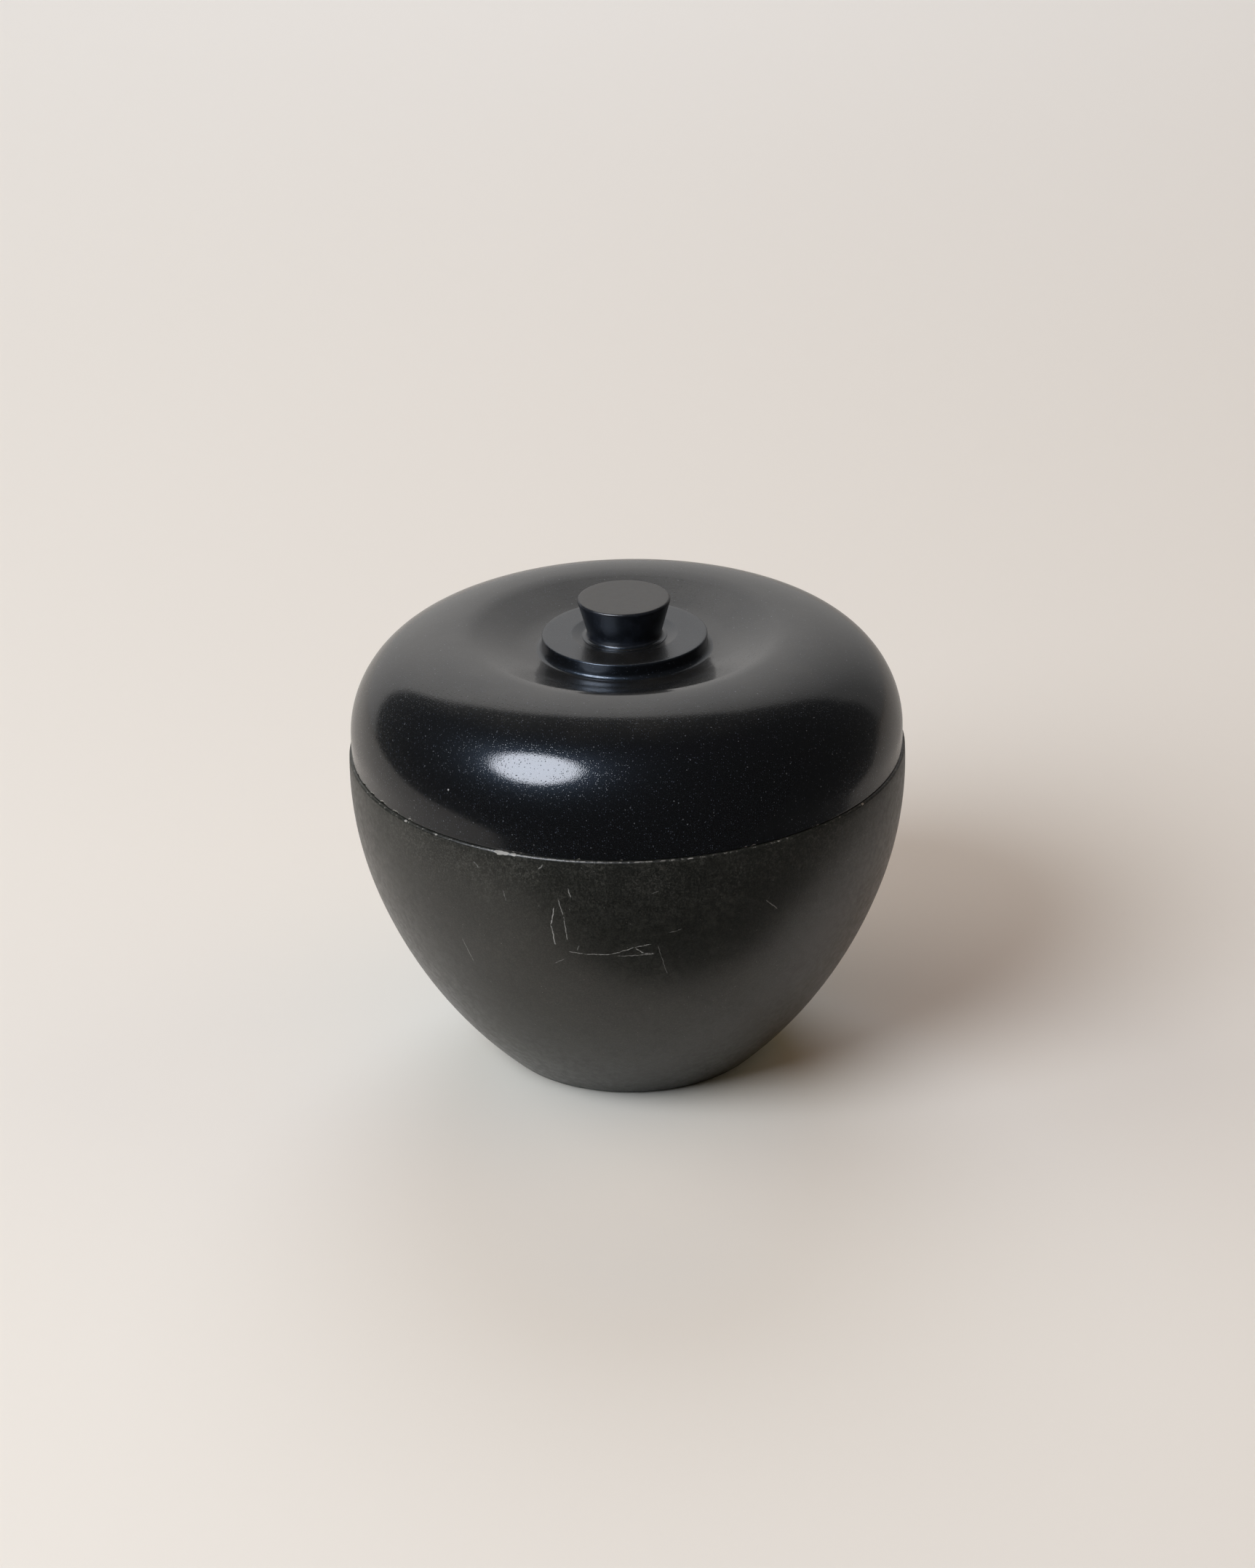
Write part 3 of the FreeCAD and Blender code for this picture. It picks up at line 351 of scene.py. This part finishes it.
class Shader:
    """A material's nodes, built by short calls that take sockets or numbers. Lengths are in millimetres."""

    def __init__(self, name):
        self.material = bpy.data.materials.new(name)
        self.material.use_nodes = True
        self.nodes = self.material.node_tree.nodes
        self.links = self.material.node_tree.links
        self.bsdf = self.nodes["Principled BSDF"]
        self.inputs = self.bsdf.inputs
        coordinates = self.nodes.new("ShaderNodeTexCoord")
        self.normal = coordinates.outputs["Normal"]
        self.mm = self.vector("MULTIPLY", coordinates.outputs["Object"], (1000, 1000, 1000))

    def put(self, socket, value):
        if isinstance(value, bpy.types.NodeSocket):
            self.links.new(value, socket)
        elif value is not None:
            socket.default_value = value

    def math(self, kind, a, b=None):
        node = self.nodes.new("ShaderNodeMath")
        node.operation = kind
        self.put(node.inputs[0], a)
        self.put(node.inputs[1], b)
        return node.outputs[0]

    def times(self, a, b):
        return self.math("MULTIPLY", a, b)

    def vector(self, kind, a, b=None):
        node = self.nodes.new("ShaderNodeVectorMath")
        node.operation = kind
        self.put(node.inputs[0], a)
        self.put(node.inputs[1], b)
        gives_number = kind in ("LENGTH", "DOT_PRODUCT", "DISTANCE")
        return node.outputs["Value" if gives_number else "Vector"]

    def shifted(self, *by):
        """The position, moved, so that a second pattern doesn't fall on the first."""
        return self.vector("ADD", self.mm, by)

    def split(self, vector):
        node = self.nodes.new("ShaderNodeSeparateXYZ")
        self.put(node.inputs[0], vector)
        return node.outputs

    def join(self, x, y, z):
        node = self.nodes.new("ShaderNodeCombineXYZ")
        for socket, value in zip(node.inputs, (x, y, z)):
            self.put(socket, value)
        return node.outputs[0]

    def noise(self, size, detail=2.0, rough=0.5, vector=None):
        """Noise with features about size millimetres across, from 0 to 1."""
        node = self.nodes.new("ShaderNodeTexNoise")
        self.put(node.inputs["Vector"], vector or self.mm)
        node.inputs["Scale"].default_value = 1 / size
        node.inputs["Detail"].default_value = detail
        node.inputs["Roughness"].default_value = rough
        return node.outputs["Fac"]

    def cells(self, size, vector=None):
        """Distance from the nearest of scattered points, in cell sizes, and its random colour."""
        node = self.nodes.new("ShaderNodeTexVoronoi")
        self.put(node.inputs["Vector"], vector or self.mm)
        node.inputs["Scale"].default_value = 1 / size
        return node.outputs["Distance"], node.outputs["Color"]

    def ramp(self, value, low, high, to_low=0.0, to_high=1.0, smooth=True):
        """Goes from to_low to to_high while the value goes from low to high."""
        node = self.nodes.new("ShaderNodeMapRange")
        node.interpolation_type = "SMOOTHSTEP" if smooth else "LINEAR"
        for socket, v in zip(node.inputs[:5], (value, low, high, to_low, to_high)):
            self.put(socket, v)
        return node.outputs["Result"]

    def mix(self, share, a, b):
        node = self.nodes.new("ShaderNodeMix")
        node.data_type = "RGBA"
        self.put(node.inputs["Factor"], share)
        self.put(node.inputs["A"], a)
        self.put(node.inputs["B"], b)
        return node.outputs["Result"]

    def attribute(self, name):
        node = self.nodes.new("ShaderNodeAttribute")
        node.attribute_name = name
        return node.outputs["Fac"]

    def bump(self, height, depth, normal=None):
        """height is from 0 to 1, depth in millimetres."""
        node = self.nodes.new("ShaderNodeBump")
        node.inputs["Strength"].default_value = 1.0
        node.inputs["Distance"].default_value = depth * MM
        self.put(node.inputs["Height"], height)
        self.put(node.inputs["Normal"], normal)
        return node.outputs["Normal"]

    def specks(self, size, share, radius, vector=None):
        """Small round specks: 1 inside a speck. share is how many of the cells hold one."""
        away, colour = self.cells(size, vector)
        chosen = self.ramp(self.split(colour)[0], 1 - share, 1 - share + 0.001)
        spread = self.ramp(self.split(colour)[1], 0, 1, radius * 0.4, radius, smooth=False)
        return self.math("MULTIPLY", chosen, self.math("LESS_THAN", away, spread))


def rgb(r, g, b):
    return (r, g, b, 1.0)


def lid_material(name, roughness, specular, coat):
    """The lid's black moulding, polished on the ring and duller on the disc and round its foot."""
    s = Shader(name)
    up = s.split(s.normal)[2]
    level = s.ramp(up, 0.80, 0.98)
    cloud = s.noise(9, 3, 0.6)
    grain = s.noise(0.30, 2, 0.7)
    dust = s.times(level, s.ramp(cloud, 0.3, 0.75, 0.35, 1.0))
    # specks and pale: painted glints, bluish and grey flecks in the base colour that stand in for light
    # caught by fine pits in the surface
    specks = s.specks(0.45, 0.45, 0.30)
    pale = s.specks(0.9, 0.22, 0.17, s.shifted(5, 23, 11))
    big = s.specks(6.0, 0.08, 0.05, s.shifted(31, 7, 3))
    base = s.mix(s.ramp(grain, 0.52, 0.72), rgb(0.0026, 0.0027, 0.0030), rgb(0.0060, 0.0064, 0.0074))
    base = s.mix(s.times(dust, 0.45), base, rgb(0.030, 0.028, 0.024))
    # the painted glints, bluish and grey flecks, go into the base colour here
    base = s.mix(s.times(specks, 0.8), base, rgb(0.034, 0.039, 0.052))
    base = s.mix(s.times(pale, 0.8), base, rgb(0.10, 0.105, 0.115))
    base = s.mix(big, base, rgb(0.30, 0.30, 0.31))
    wear = s.attribute("wear")
    worn = s.ramp(s.math("ADD", wear, s.times(s.noise(0.4, 2), 0.5)), 0.5, 0.8)
    base = s.mix(worn, base, rgb(0.28, 0.27, 0.25))
    s.put(s.inputs["Base Color"], base)
    # under the shiny skin the moulding scatters a broad, weak glow round each highlight
    s.inputs["Roughness"].default_value = roughness
    s.inputs["Specular IOR Level"].default_value = specular
    s.inputs["Specular Tint"].default_value = rgb(0.55, 0.74, 1.0)
    s.inputs["IOR"].default_value = 1.5
    s.put(s.inputs["Coat Weight"], s.math("SUBTRACT", coat, s.times(worn, 0.8 * coat)))
    s.inputs["Coat Roughness"].default_value = 0.06
    s.inputs["Coat IOR"].default_value = 1.5
    dimples, dimple_colour = s.cells(0.32)
    strong = s.ramp(s.split(dimple_colour)[2], 0.55, 0.95)
    pits = s.times(strong, s.ramp(dimples, 0.05, 0.45, 1.0, 0.0))
    peel = s.bump(s.noise(0.30, 2, 0.6), 0.013)
    pitted = s.bump(pits, 0.022, peel)
    waves = s.bump(s.noise(14, 1, 0.5), 0.03, pitted)
    s.put(s.inputs["Normal"], waves)
    s.put(s.inputs["Coat Normal"], waves)
    return s.material


def round_the_axis(s):
    """Angle from the front in degrees, positive to the right, height, and distance from the axis."""
    x, y, z = s.split(s.mm)
    turn = s.math("ARCTAN2", x, s.times(y, -1))
    return s.times(turn, 180 / math.pi), z, s.vector("LENGTH", s.join(x, y, 0))


def scratch(s, u, v, wobble, start, end, width):
    """1 on a thin scratch between two points of the unrolled wall, in mm."""
    (u0, v0), (u1, v1) = start, end
    length = math.hypot(u1 - u0, v1 - v0)
    du, dv = (u1 - u0) / length, (v1 - v0) / length
    pu, pv = s.math("SUBTRACT", u, u0), s.math("SUBTRACT", v, v0)
    along = s.math("ADD", s.times(pu, du), s.times(pv, dv))
    across = s.math("SUBTRACT", s.times(pu, dv), s.times(pv, du))
    body = s.ramp(s.math("ABSOLUTE", s.math("ADD", across, wobble)), width * 0.3, width, 1, 0)
    short = min(0.5, length / 4)
    begins = s.ramp(along, -0.1, short)
    ends = s.ramp(along, length - short, length + 0.1, 1, 0)
    return s.times(body, s.times(begins, ends))


# each scratch: how bright, how wide, and the points it runs through as degrees from the front and height
SCRATCHES = [
    (1.0, 0.17, (-15.3, 60.0), (-16.2, 55.5), (-15.7, 50.5)),
    (0.7, 0.13, (-14.4, 62.0), (-13.5, 58.0), (-13.0, 52.0)),
    (0.8, 0.12, (-12.3, 64.8), (-11.8, 62.5)),
    (0.8, 0.13, (-13.0, 49.1), (-10.0, 48.7), (-4.2, 48.8), (0.5, 50.6), (4.0, 51.3)),
    (0.9, 0.17, (0.8, 50.4), (2.5, 48.9), (4.6, 48.8)),
    (0.6, 0.11, (-3.0, 48.4), (4.2, 48.6)),
    (0.35, 0.12, (5.3, 51.0), (6.0, 48.0), (7.4, 43.0)),
    (0.5, 0.11, (7.5, 53.9), (10.2, 54.6)),
    (0.5, 0.11, (-10.7, 51.0), (-11.1, 49.5)),
    (0.4, 0.13, (-16.3, 45.6), (-14.0, 47.0)),
    (0.6, 0.18, (-18.3, 68.5), (-17.2, 69.6)),
    (0.5, 0.16, (-32.4, 67.5), (-31.2, 66.4)),
    (0.35, 0.16, (-26.0, 62.3), (-25.4, 59.8)),
    (0.4, 0.11, (4.0, 63.6), (5.6, 64.3)),
    (0.5, 0.13, (28.0, 58.0), (31.0, 55.0)),
    (0.5, 0.13, (-38.0, 47.0), (-36.5, 41.0)),
]


def bowl_material():
    """The bowl's black moulding: matt, mottled and dusty, scratched in front, worn along the rim, with a
    painted highlight on the rim's edge.
    """
    s = Shader("black_phenolic_matt")
    turn, z, away = round_the_axis(s)
    cloud = s.noise(11, 4, 0.6)
    mottle = s.noise(1.6, 3, 0.65)
    fine = s.noise(0.35, 2, 0.7)
    dust = s.times(s.ramp(cloud, 0.35, 0.7), s.ramp(mottle, 0.4, 0.75))
    base = s.mix(s.ramp(fine, 0.40, 0.68), rgb(0.0060, 0.0064, 0.0050), rgb(0.020, 0.021, 0.0165))
    base = s.mix(s.times(dust, 0.45), base, rgb(0.045, 0.045, 0.036))
    # a haze of fine dust hangs on the wall below the rim
    haze = s.times(s.ramp(z, SEAM - 16, SEAM - 3), s.ramp(s.noise(0.7, 4, 0.75), 0.46, 0.66))
    haze = s.times(haze, s.ramp(cloud, 0.30, 0.62, 0.15, 1.0))
    base = s.mix(s.times(haze, 0.55), base, rgb(0.070, 0.070, 0.062))
    specks = s.specks(0.9, 0.22, 0.14)
    base = s.mix(s.times(specks, 0.6), base, rgb(0.13, 0.13, 0.12))
    big = s.specks(5.0, 0.10, 0.045, s.shifted(13, 5, 17))
    base = s.mix(big, base, rgb(0.25, 0.25, 0.24))
    wobble = s.times(s.math("SUBTRACT", s.noise(1.1, 2), 0.5), 0.5)
    per_degree = BOWL_RADIUS * math.pi / 180
    u = s.times(turn, per_degree)
    lines = None
    for bright, width, *path in SCRATCHES:
        for (t0, v0), (t1, v1) in zip(path, path[1:]):
            one = scratch(s, u, z, wobble, (t0 * per_degree, v0), (t1 * per_degree, v1), width)
            one = s.times(one, bright)
            lines = one if lines is None else s.math("MAXIMUM", lines, one)
    # the scratches are on the outer face only, where the wall's normal points away from the axis
    x, y, _ = s.split(s.mm)
    outside = s.ramp(s.vector("DOT_PRODUCT", s.normal, s.join(x, y, 0)), 5, 10)
    broken = s.ramp(s.noise(0.6, 2), 0.3, 0.55, 0.25, 1.0)
    lines = s.times(lines, s.times(outside, broken))
    # the rim's edge gets a broken pale line, most of all at the front: partly a worn-through edge, partly a
    # painted highlight where the edge catches the light
    edge = s.vector("DISTANCE", s.join(away, z, 0), (BOWL_RADIUS - 0.2, SEAM - 0.05, 0))
    front = s.ramp(s.math("ABSOLUTE", s.math("ADD", turn, 5.0)), 17, 26, 0.10, 0.0)
    rim_wear_and_highlight = s.ramp(s.math("ADD", s.noise(0.7, 3, 0.65), front), 0.58, 0.66)
    rim_wear_and_highlight = s.times(rim_wear_and_highlight, s.ramp(edge, 0.10, 0.26, 1, 0))
    wear = s.attribute("wear")
    worn = s.ramp(s.math("ADD", wear, s.times(s.noise(0.4, 2), 0.5)), 0.60, 0.85)
    # from here worn holds the real chips and the rim line, which is partly a painted highlight
    worn = s.math("MAXIMUM", worn, s.times(rim_wear_and_highlight, 0.8))
    base = s.mix(s.times(lines, 0.9), base, rgb(0.30, 0.30, 0.29))
    base = s.mix(worn, base, rgb(0.26, 0.25, 0.23))
    s.put(s.inputs["Base Color"], base)
    gloss = s.ramp(mottle, 0.3, 0.7, 0.31, 0.42)
    gloss = s.math("ADD", gloss, s.times(s.math("MAXIMUM", lines, worn), 0.2))
    s.put(s.inputs["Roughness"], gloss)
    s.inputs["IOR"].default_value = 1.55
    grain = s.bump(s.noise(0.4, 2, 0.6), 0.012)
    cut = s.bump(s.math("SUBTRACT", 1.0, lines), 0.03, grain)
    s.put(s.inputs["Normal"], cut)
    return s.material


def knob_material():
    """The knob's black moulding, dulled by handling, with dust on its top."""
    s = Shader("black_phenolic_handled")
    up = s.split(s.normal)[2]
    level = s.ramp(up, 0.8, 1.0)
    cloud = s.noise(2.5, 3, 0.6)
    fine = s.ramp(s.noise(0.35, 3, 0.7), 0.35, 0.65, 0.55, 1.15)
    dust = s.times(level, s.times(fine, s.ramp(cloud, 0.3, 0.75, 0.6, 1.1)))
    base = s.mix(s.ramp(cloud, 0.4, 0.7), rgb(0.006, 0.0075, 0.011), rgb(0.012, 0.015, 0.022))
    base = s.mix(s.times(dust, 0.8), base, rgb(0.070, 0.067, 0.060))
    # specks: painted glints, bluish flecks in the base colour that stand in for light caught by the surface
    specks = s.specks(0.7, 0.35, 0.17)
    base = s.mix(s.times(specks, 0.7), base, rgb(0.055, 0.062, 0.075))
    wear = s.attribute("wear")
    worn = s.ramp(s.math("ADD", wear, s.times(s.noise(0.5, 2), 0.5)), 0.6, 1.1)
    base = s.mix(s.times(worn, 0.5), base, rgb(0.16, 0.155, 0.14))
    s.put(s.inputs["Base Color"], base)
    gloss = s.ramp(cloud, 0.3, 0.7, 0.28, 0.36)
    gloss = s.math("ADD", gloss, s.times(dust, 0.14))
    s.put(s.inputs["Roughness"], gloss)
    s.inputs["IOR"].default_value = 1.57
    s.put(s.inputs["Normal"], s.bump(s.noise(0.45, 1.5, 0.5), 0.012))
    return s.material


def metal_material(name, dark, light, roughness):
    """Turned metal: fine rings about the axis and a little tarnish."""
    s = Shader(name)
    x, y, z = s.split(s.mm)
    away = s.vector("LENGTH", s.join(x, y, 0))
    rings = s.noise(0.12, 1, 0.5, s.join(away, s.times(z, 0.7), 0))
    stain = s.noise(1.2, 3, 0.6)
    s.put(s.inputs["Base Color"], s.mix(s.ramp(stain, 0.35, 0.7), rgb(*light), rgb(*dark)))
    s.inputs["Metallic"].default_value = 1.0
    s.put(s.inputs["Roughness"], s.ramp(rings, 0.3, 0.7, roughness, roughness + 0.15))
    s.put(s.inputs["Normal"], s.bump(rings, 0.004))
    return s.material


def dress(node, material):
    """Gives every material slot of a CAD node this material."""
    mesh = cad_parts[node].data
    if not mesh.materials:
        mesh.materials.append(material)
    for k in range(len(mesh.materials)):
        mesh.materials[k] = material


# ---------------------------------------------------------------- stage: surroundings, lights, camera


DUSK = 0.06              # the radiance of the dark room that shows in the gloss
ROOM_RADIUS = 3.6        # metres, like every length of the stage outside its materials
JUST_BELOW = -0.0001
CIRCLE = np.linspace(0, 2 * math.pi, 96, endpoint=False)


def floor_material(colour):
    s = Shader("pale_floor")
    darker = [c * 0.985 for c in colour]
    s.put(s.inputs["Base Color"], s.mix(s.noise(400, 2, 0.5), rgb(*colour), rgb(*darker)))
    s.inputs["Roughness"].default_value = 0.9
    s.inputs["Specular IOR Level"].default_value = 0.2
    return s.material


def surface(s, shader):
    """Puts a shader on the material's output in place of the principled one."""
    s.links.new(shader.outputs[0], s.nodes["Material Output"].inputs["Surface"])
    s.nodes.remove(s.bsdf)
    return s.material


def glow(s, colour, strength=1.0):
    """A glowing surface: its radiance is the colour times the strength."""
    emission = s.nodes.new("ShaderNodeEmission")
    emission.inputs["Color"].default_value = rgb(*colour)
    s.put(emission.inputs["Strength"], strength)
    return emission


def stage_object(name, points, faces, material):
    mesh = bpy.data.meshes.new(name)
    mesh.from_pydata([Vector(p) for p in points], [], faces)
    mesh.materials.append(material)
    thing = bpy.data.objects.new(name, mesh)
    bpy.context.scene.collection.objects.link(thing)
    return thing


def flat(name, corners, material):
    return stage_object(name, corners, [tuple(range(len(corners)))], material)


def seen_only(thing, camera=False, gloss=False):
    """Limits a stage object to the camera's own view or to what shows in gloss."""
    thing.visible_camera = camera
    thing.visible_glossy = gloss
    thing.visible_diffuse = False
    thing.visible_transmission = False
    thing.visible_volume_scatter = False
    thing.visible_shadow = False


def disc(radius, height):
    return [(radius * math.cos(t), radius * math.sin(t), height) for t in CIRCLE]


def make_floor():
    flat("floor", disc(ROOM_RADIUS, JUST_BELOW), floor_material((0.80, 0.765, 0.715)))


def make_surround():
    """A pale wall all round, far off, that only the camera sees."""
    count = len(CIRCLE)
    points = disc(ROOM_RADIUS, JUST_BELOW) + disc(ROOM_RADIUS, 6.0)
    faces = [(k, (k + 1) % count, count + (k + 1) % count, count + k) for k in range(count)]
    s = Shader("surround_glow")
    wall = stage_object("surround", points, faces, surface(s, glow(s, (0.78, 0.74, 0.68))))
    seen_only(wall, camera=True)


def make_back_panel():
    """The white sheet behind the object that shows in its gloss, brightest at its top and left."""
    outline = [
        (-2.2, 0), (2.05, 0), (2.1, 1.4), (0.95, 2.8), (0, 2.55), (-0.80, 2.3), (-1.16, 1.9),
        (-1.25, 1.6), (-1.30, 1.1), (-1.42, 0.65), (-1.6, 0.42),
    ]
    s = Shader("back_panel_glow")
    x, _, z = s.split(s.mm)
    rise = s.ramp(z, 100, 1600, 0.50, 1.15, smooth=False)
    side = s.ramp(x, -200, 1500, 1.0, 0.35, smooth=False)
    material = surface(s, glow(s, (1, 0.975, 0.95), s.times(rise, side)))
    panel = flat("back_panel", [(x, 1.5, z) for x, z in outline], material)
    seen_only(panel, gloss=True)


def make_dark_card():
    """Black cards laid on the table in front and to the sides, seen only in the gloss of the object."""
    edge = [
        (-2.1, 1.5), (-0.95, 0.42), (-0.46, 0.02), (-0.29, -0.12), (-0.19, -0.14), (-0.10, -0.135),
        (-0.06, -0.112), (-0.03, -0.088), (0.0, -0.073), (0.04, -0.064), (0.10, -0.056), (0.15, -0.035),
        (0.205, 0.01), (0.27, 0.085), (0.40, 0.18), (0.8, 0.5), (1.9, 1.35),
    ]
    outer_edge = [(3.4, 1.5), (3.4, -3.4), (-3.4, -3.4), (-3.4, 1.30)]
    s = Shader("near_black")
    material = surface(s, glow(s, (DUSK, DUSK, DUSK)))
    card = flat("dark_card", [(x, y, 0.0004) for x, y in edge + outer_edge], material)
    seen_only(card, gloss=True)


def make_veil():
    """A grey film over the floor, seen only in gloss: it dims the floor's far parts, most at right."""
    s = Shader("veil")
    x, _, _ = s.split(s.mm)
    away = s.ramp(s.vector("LENGTH", s.mm), 120, 200, smooth=False)
    side = s.ramp(x, -100, 120, 0.38, 0.54, smooth=False)
    blend = s.nodes.new("ShaderNodeMixShader")
    s.put(blend.inputs[0], s.times(away, side))
    s.put(blend.inputs[1], s.nodes.new("ShaderNodeBsdfTransparent").outputs[0])
    s.put(blend.inputs[2], glow(s, (0, 0, 0)).outputs[0])
    veil = flat("veil", disc(3.5, 0.0002), surface(s, blend))
    seen_only(veil, gloss=True)


def lamp(name, azimuth, elevation, distance, size, radiance, colour, gloss=False, at=(0, 0, 0.06)):
    """A round soft light, azimuth counted from the front. It works in gloss alone or in all but gloss."""
    azimuth, elevation = math.radians(azimuth), math.radians(elevation)
    data = bpy.data.lights.new(name, "AREA")
    data.shape = "DISK"
    data.size = size
    data.energy = radiance * math.pi * math.pi * size**2 / 4
    data.color = colour
    light = bpy.data.objects.new(name, data)
    reach, rise = distance * math.cos(elevation), distance * math.sin(elevation)
    light.location = Vector(at) + Vector((reach * math.sin(azimuth), -reach * math.cos(azimuth), rise))
    light.rotation_euler = (Vector(at) - light.location).to_track_quat("-Z", "Y").to_euler()
    bpy.context.scene.collection.objects.link(light)
    light.visible_camera = False
    light.visible_glossy = gloss
    light.visible_diffuse = not gloss


def make_lights():
    """A large key light from the left, with a twin for the gloss, and weak tinted fills all round."""
    world = bpy.data.worlds.new("studio")
    bpy.context.scene.world = world
    world.use_nodes = True
    background = world.node_tree.nodes["Background"]
    background.inputs["Color"].default_value = rgb(DUSK, DUSK, DUSK)
    world.cycles_visibility.camera = False
    world.cycles_visibility.diffuse = False
    lamp("key_gloss", -49.5, 47.9, 1.7, 0.95, 14.0, (0.90, 0.94, 1.03), gloss=True)
    lamp("key", -47, 39.5, 1.7, 1.05, 9.6, (0.89, 0.95, 1.0))
    lamp("fill_top", 20, 75, 2.4, 2.6, 0.38, (1.0, 0.4, 0.2))
    lamp("fill_left", -100, 30, 2.4, 2.2, 1.85, (1.0, 0.98, 0.91))
    lamp("fill_right", 100, 30, 2.4, 2.2, 0.70, (1.0, 0.87, 0.62))
    lamp("fill_back", 180, 35, 2.6, 2.6, 0.60, (1.0, 0.54, 0.05))
    lamp("backdrop", 180, 60, 1.4, 1.2, 4.2, (0.66, 0.81, 1.0), at=(0, 0.9, 0))


def make_camera():
    """A long lens looking 25 degrees down at the object, tilted a little."""
    pitch, roll = math.radians(24.99), math.radians(1.29)
    away, rise, aside, height = 0.9571, 0.01149, -0.0001, 0.048
    forward = Vector((0, math.cos(pitch), -math.sin(pitch)))
    right = Vector((1, 0, 0))
    up = right.cross(forward)
    data = bpy.data.cameras.new("camera")
    data.sensor_width = 36.0
    data.lens = 100.186
    data.clip_start, data.clip_end = 0.01, 50
    camera = bpy.data.objects.new("camera", data)
    turn = Matrix((right, up, -forward)).transposed() @ Matrix.Rotation(-roll, 3, "Z")
    place = Vector((0, 0, height)) - forward * away + up * rise + right * aside
    camera.matrix_world = Matrix.Translation(place) @ turn.to_4x4()
    bpy.context.scene.collection.objects.link(camera)
    bpy.context.scene.camera = camera


# ---------------------------------------------------------------- the object


def second_material(piece, material, chosen):
    """Gives the second material to the faces whose radius and height are chosen."""
    piece.data.materials.append(material)
    for face in piece.data.polygons:
        middle = face.center / MM
        if chosen(middle.xy.length, middle.z):
            face.material_index = 1


make_camera()
make_floor()
make_surround()
make_back_panel()
make_dark_card()
make_veil()
make_lights()
bpy.context.scene.view_settings.view_transform = "Standard"
bpy.context.scene.view_settings.look = "None"

satin = lid_material("black_phenolic_satin", 0.32, 0.50, 0.46)

bowl = lathe("bowl_shell", bowl_profile(), False, bowl_shape)
bowl.data.materials.append(bowl_material())
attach(bowl, "bowl")
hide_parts("bowl")

lid = lathe("lid_shell", lid_profile(), True, lid_shape)
lid.data.materials.append(lid_material("black_phenolic_gloss", 0.34, 0.15, 0.94))
second_material(lid, satin, lambda radius, height: radius < DISC_R + 1.4 and height > WELL_Z - 0.2)
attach(lid, "lid")
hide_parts("lid")

knob = lathe("knob_grip", knob_profile(), False, knob_shape)
knob.data.materials.append(knob_material())
second_material(knob, satin, lambda radius, height: radius > 8.1 and height < DISC_TOP)
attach(knob, "lid")
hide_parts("knob")

dress("knob_insert", metal_material("turned_brass", (0.45, 0.30, 0.12), (0.72, 0.52, 0.24), 0.25))
dress("knob_washer", metal_material("plated_washer", (0.38, 0.37, 0.34), (0.60, 0.60, 0.58), 0.30))
dress("knob_screw", metal_material("plated_screw", (0.36, 0.35, 0.32), (0.58, 0.58, 0.56), 0.28))
